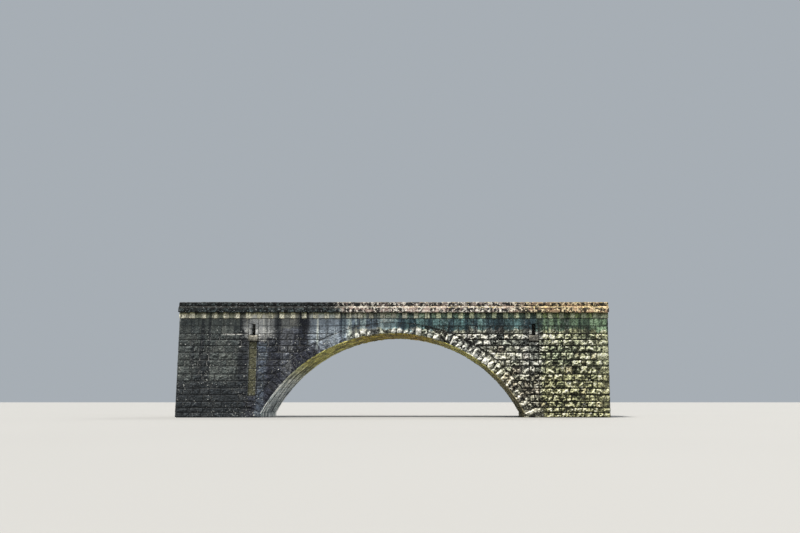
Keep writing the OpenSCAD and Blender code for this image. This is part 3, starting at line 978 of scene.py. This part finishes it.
def ring_material():
    """Voussoirs like the wall round them, broken along the crown, with moss on the soffit. Where
    lit they are paler towards the soffit, partly a paler stone and partly painted sunlight, and
    the relief of their faces carries painted shade and highlight."""
    m = Stone("ring_stone")
    zones = Zones(m)
    fine = m.noise(28.0, 4.0, 0.7, shift=7.7)
    flat_place = m.add("ShaderNodeCombineXYZ", m.x, 0.0, m.math("SUBTRACT", m.z, CENTRE_Z)).outputs[0]
    radius = m.add("ShaderNodeVectorMath", flat_place, operation="LENGTH").outputs["Value"]
    front_foot = m.both(m.span(m.z, SPRING_Z + 0.05, SPRING_Z - 0.05),
                        m.span(m.far_y, FACE_Y - 0.05, FACE_Y - 0.02))
    soffit = m.both(m.span(radius, RADIUS + 0.05, RADIUS + 0.01), m.less(front_foot))
    # The ring right of this is lit: it gets painted sunlight and painted relief shading
    lit = m.span(m.x, -3.6, -2.4)
    ragged = m.plus(radius, m.about(m.tone[1], 0.26), m.about(m.noise(4.0, shift=33.0), 0.5))
    pale_and_sunlit = m.plus(m.span(ragged, RADIUS + 0.40, RADIUS + 0.20, 0.8, 2.3),
                      m.span(m.x, 2.5, 4.0, 0.0, 0.25))
    colour = m.shade(stone_colour(m, zones), pale_and_sunlit, lit)
    broken = m.noise(6.5, shift=61.0, bent=0.4)
    colour = m.speckle(colour, broken, 0.28, 1.85, 0.09, m.span(m.x, 1.0, 3.0))
    heads = m.both(m.span(radius, RADIUS + 0.22, RADIUS + 0.38), m.between(m.x, -3.9, 1.5, 0.4))
    # Painted shade in the joints and painted highlight on the lumps of the lit voussoirs
    crown = m.both(lit, m.less(heads), m.span(m.x, 3.0, 5.0, 1.0, 0.3))
    colour = m.shade(colour, m.span(m.relief, 0.26, 0.68, 0.22, 1.15), crown)
    colour = m.mix(soffit, colour, soffit_colour(m))
    bold = m.both(zones.bold, m.less(soffit), m.span(heads, 0.0, 1.0, 1.0, 0.3))
    return rock_finish(m, colour, fine, bold, 0.82)


def soffit_colour(m):
    """Moss and lime on the underside: grey-green at the feet, ochre towards the crown."""
    moss = m.span(m.noise(3.4, 5.0, 0.65, shift=2.0), 0.38, 0.62)
    run = m.span(m.noise(1.0, 3.0, 0.65, (0.4, 2.6, 0.4), 9.0), 0.42, 0.50)
    lit_foot = m.mix(run, (0.19, 0.23, 0.235), (0.74, 0.79, 0.80))
    shaded_foot = m.mix(run, (0.10, 0.085, 0.045), (0.30, 0.26, 0.14))
    foot = m.mix(m.span(m.x, 0.0, 3.0), lit_foot, shaded_foot)
    olive = m.mix(moss, (0.20, 0.21, 0.042), (0.55, 0.48, 0.15))
    olive = m.shade(olive, m.span(run, 0.0, 1.0, 0.5, 1.4))
    crown = m.mix(moss, (0.18, 0.145, 0.012), (0.43, 0.33, 0.042))
    rust = m.span(m.noise(2.2, 4.0, 0.65, (0.35, 1.1, 0.35), 12.0, 0.5), 0.52, 0.60)
    crown = m.stain(crown, rust, (0.26, 0.125, 0.045), 0.75)
    colour = m.mix(m.span(m.z, 1.4, 3.4), foot, olive)
    colour = m.mix(m.span(m.z, 4.1, 4.75), colour, crown)
    streaks = m.noise(6.0, 4.0, 0.65, (0.16, 0.5, 0.16), 19.0, 0.3)
    colour = m.speckle(colour, streaks, 0.28, 2.1, 0.12)
    colour = m.speckle(colour, m.noise(2.4, 4.0, 0.65, (1, 0.6, 1), 27.0, 0.4), 0.5, 1.55, 0.12)
    return m.stain(colour, m.tone[2], (0.08, 0.085, 0.05), m.span(m.z, 1.4, 3.4, 0.12, 0.35))


def vault_material():
    m = Stone("vault_stone")
    fine = m.noise(26.0, 4.0, 0.7)
    colour = weathered_and_shaded(m, soffit_colour(m), fine, 0.3, 0.85)
    return m.finish(colour, m.plus(fine, m.noise(9.0, shift=4.0)), 0.6, 0.02)


def crusted_stone(name, dark, mid, pale, crust, black, left_dark=0.0):
    """Dressed stone with lichen crusts, black growth and a tone of its own for each block. crust
    and black say how strong they are. left_dark, for the top courses, is how far the left is in
    shade, and brings their yellow on the right."""
    m = Stone(name)
    fine = m.noise(24.0, 5.0, 0.75)
    colour = m.ramp(m.tone[0], (0.0, *dark), (0.55, *mid), (1.0, *pale))
    growth = m.span(m.noise(3.6, 2.5, shift=4.0, bent=0.6), 0.47, 0.49)
    colour = m.stain(colour, growth, (0.012, 0.013, 0.015), black)
    crusts = m.span(m.noise(6.0, shift=8.0, bent=0.6), 0.55, 0.57)
    colour = m.stain(colour, crusts, (0.76, 0.72, 0.64), crust)
    spots = m.span(m.chips(7.0, 12.0), 0.28, 0.22)
    some = m.span(m.noise(1.5, roughness=0.55, shift=6.0), 0.46, 0.56)
    colour = m.stain(colour, m.both(spots, some), (0.70, 0.66, 0.54), crust)
    if left_dark:
        colour = top_lichen_and_shade(m, colour, crusts, left_dark)
    colour = m.speckle(colour, fine, 0.55, 1.5)
    colour = m.stain(colour, m.span(m.relief, 0.40, 0.15), (0.05, 0.05, 0.05), 0.3)
    return m.finish(colour, m.plus(fine, m.noise(10.0, shift=2.0)), 0.9, 0.03)


def top_lichen_and_shade(m, colour, crusts, left_dark):
    """The top courses: yellow lichen on the right, painted shade on the left that leaves them black
    with blue-grey specks, lighter at the foot of the cornice and darker from its wash up, and a
    darker line under the kerb's top edge."""
    top = m.span(m.up(), 0.25, 0.6)
    colour = m.stain(colour, top, (0.38, 0.35, 0.29), 0.25)
    colour = m.times(colour, (1.20, 1.0, 0.60), m.span(m.x, 6.0, 9.0, 0.0, 0.75))
    lichen = m.both(m.span(m.noise(7.0, shift=23.0, bent=0.5), 0.55, 0.60),
                    m.span(m.x, -2.0, 8.0, 0.1, 0.5))
    colour = m.stain(colour, lichen, (0.62, 0.46, 0.10), top)
    wander = m.plus(m.x, m.about(m.noise(1.6, 4.0, 0.75, shift=17.0), 4.0))
    # Painted shade on the left, darkest on the tops, with the crusts showing a little through it
    shade = m.both(m.span(wander, -2.5, -3.7, 0.0, left_dark), m.span(crusts, 0.0, 1.0, 1.0, 0.98))
    colour = m.times(colour, m.mix(top, (0.024, 0.058, 0.078), (0.018, 0.028, 0.033)), shade)
    specks = m.span(m.noise(11.0, 2.0, 0.5, shift=43.0, bent=0.5), 0.65, 0.69, 0.0, 0.6)
    colour = m.stain(colour, specks, (0.42, 0.45, 0.47), shade)
    colour = m.shade(colour, m.span(m.z, CORNICE_Z + 0.01, WASH_Z - 0.02, 1.3, 0.78))
    return m.shade(colour, 0.72, m.between(m.z, TOP_Z - 0.08, TOP_Z - 0.035, 0.01))


def dentil_material():
    """Dentils: cream on the left, grey in the middle and green-grey on the right, with painted
    shade of the cornice on their heads."""
    m = Stone("dentil_stone")
    cream = m.ramp(m.tone[0], (0.58, 0.56, 0.43), (0.95, 0.91, 0.72))
    grey = m.ramp(m.tone[0], (0.34, 0.34, 0.27), (0.76, 0.74, 0.60))
    green = m.ramp(m.tone[0], (0.34, 0.39, 0.26), (0.66, 0.70, 0.47))
    colour = m.mix(m.span(m.x, -6.0, -4.0), cream, m.mix(m.span(m.x, 0.5, 3.0), grey, green))
    colour = m.shade(colour, 0.78, m.span(m.x, 8.2, 8.8))
    drips = m.span(m.noise(5.0, 3.0, 0.6, (1, 1, 0.4), 3.0), 0.50, 0.58)
    colour = m.stain(colour, drips, (0.045, 0.05, 0.045), 0.6)
    colour = m.speckle(colour, m.noise(14.0, 1.5, 0.5, shift=5.0), 0.5, 1.4, 0.1)
    # Painted shade of the cornice on the dentils' heads
    colour = m.times(colour, CORNICE_SHADE, m.span(m.z, CORNICE_Z - 0.26, CORNICE_Z))
    fine = m.noise(24.0, 5.0, 0.7)
    return m.finish(m.speckle(colour, fine, 0.65, 1.3), fine, 0.6, 0.015)


def mortar_material():
    m = Stone("mortar")
    fine = m.noise(30.0, 4.0, 0.7)
    left = m.mix(m.span(m.noise(1.4, 4.0), 0.50, 0.60), (0.050, 0.052, 0.055), (0.17, 0.17, 0.165))
    colour = m.mix(m.span(m.x, -3.0, 0.0), left, (0.060, 0.058, 0.050))
    return m.finish(m.speckle(colour, fine, 0.6, 1.4), fine, 0.7, 0.012)


def floor_material():
    m = Stone("studio_floor")
    colour = m.mix(m.noise(0.05, 2.0, 0.55), (0.275, 0.275, 0.272), (0.290, 0.290, 0.287))
    return m.finish(colour, m.noise(4.0, roughness=0.55), 0.02, 0.002, 0.8)


def build():
    """Lays every piece. Each has a seed of its own."""
    mortar = mortar_material()
    wall = wall_material("wall_stone")
    wing_stone = wall_material("wing_stone", 0.9)
    end_stone = wall_material("end_stone")
    ring_stone = ring_material()
    dentil_stone = dentil_material()
    cornice_stone, kerb_stone, ledge_stone, gravel, rubble = (crusted_stone(*look) for look in (
        ("cornice_stone", (0.19, 0.145, 0.13), (0.30, 0.23, 0.20), (0.42, 0.33, 0.29), 0.85, 0.95, 0.97),
        ("kerb_stone", (0.11, 0.085, 0.08), (0.19, 0.15, 0.135), (0.30, 0.24, 0.21), 0.85, 0.97, 0.96),
        ("ledge_stone", (0.11, 0.105, 0.09), (0.15, 0.145, 0.12), (0.20, 0.19, 0.155), 0.3, 0.5),
        ("gravel", (0.10, 0.09, 0.08), (0.19, 0.17, 0.15), (0.30, 0.27, 0.24), 0.15, 0.3),
        ("backing_stone", (0.12, 0.11, 0.10), (0.19, 0.17, 0.15), (0.25, 0.23, 0.2), 0.2, 0.4)))
    seed = 100
    for face in ("front", "back"):
        for end in ("left", "right"):
            def body(kind, offset, *materials):
                return Masonry(f"{kind}_{face}_{end}", seed + offset, materials, face, end)

            side_wall(body("spandrel", 1, wall, mortar), 0.0, BAY_X0)
            outlet_head(body("outlet_head", 11, wall, mortar))
            ledge(body("ledge", 21, ledge_stone))
            chase(body("chase", 31, wall, mortar))
            side_wall(body("wing", 41, wing_stone, mortar), BAY_X1, HALF_L)
            seed += 100
        for lay, kind, offset, materials in (
                (ring, "ring_", 51, (ring_stone, mortar)),
                (dentil_course, "dentil_course_", 61, (dentil_stone, mortar, wall)),
                (cornice, "cornice_", 71, (cornice_stone,)), (kerb, "kerb_", 81, (kerb_stone,))):
            lay(Masonry(kind + face, seed + offset, materials, face))
    # The left end wall is the right one turned half round
    for end, face in (("left", "back"), ("right", "front")):
        seed += 100
        springer(Masonry("springer_" + end, seed + 1, (ring_stone,), end=end))
        end_wall(Masonry("end_wall_" + end, seed + 11, (end_stone, mortar, kerb_stone), face, end))
        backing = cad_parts["backing_" + end].data
        backing.materials.clear()
        backing.materials.append(rubble)
    vault(Masonry("vault", seed + 21, (vault_material(), mortar)))
    track_bed(Masonry("track_bed", seed + 31, (gravel,)))


def studio():
    """A pale floor, soft light from high on the left, and the photograph's camera."""
    scene = bpy.context.scene

    def place(name, data):
        thing = bpy.data.objects.new(name, data)
        scene.collection.objects.link(thing)
        return thing

    mesh = bpy.data.meshes.new("floor")
    reach = 400.0
    mesh.from_pydata([(-reach, -reach, 0), (reach, -reach, 0), (reach, reach, 0), (-reach, reach, 0)],
                     [], [(0, 1, 2, 3)])
    mesh.materials.append(floor_material())
    floor = place("floor", mesh)
    floor.location.z = -0.001
    scene.world = bpy.data.worlds.new("studio")
    scene.world.use_nodes = True
    sky = scene.world.node_tree.nodes["Background"].inputs
    sky["Color"].default_value, sky["Strength"].default_value = (0.84, 0.92, 1.0, 1.0), 0.46
    lamps = {"key": (6.8, 8.0, (-0.9, -0.95, 3.6), (1.0, 0.955, 0.88)),
             "fill": (0.9, 20.0, (0.8, 1.2, 1.5), (1.0, 0.96, 0.91)),
             "side": (0.55, 30.0, (1.0, -0.6, 0.35), (0.95, 0.97, 1.0))}
    for name, (strength, angle, way, colour) in lamps.items():
        lamp = bpy.data.lights.new(name, "SUN")
        lamp.energy, lamp.angle, lamp.color = strength, math.radians(angle), colour
        place(name, lamp).rotation_euler = Vector(way).to_track_quat("Z", "Y").to_euler()
    # The camera that was fitted to the photograph's arch, cornice and drains
    lens = bpy.data.cameras.new("camera")
    lens.lens, lens.sensor_width = 37.94, 36.0
    lens.shift_x, lens.clip_end = -0.0644, 2000.0
    scene.camera = place("camera", lens)
    scene.camera.location = (3.391, -51.546, 0.972)
    pitch = 9.03
    scene.camera.rotation_euler = (math.radians(90 + pitch), 0, 0)
    scene.view_settings.view_transform = "Standard"


build()
studio()
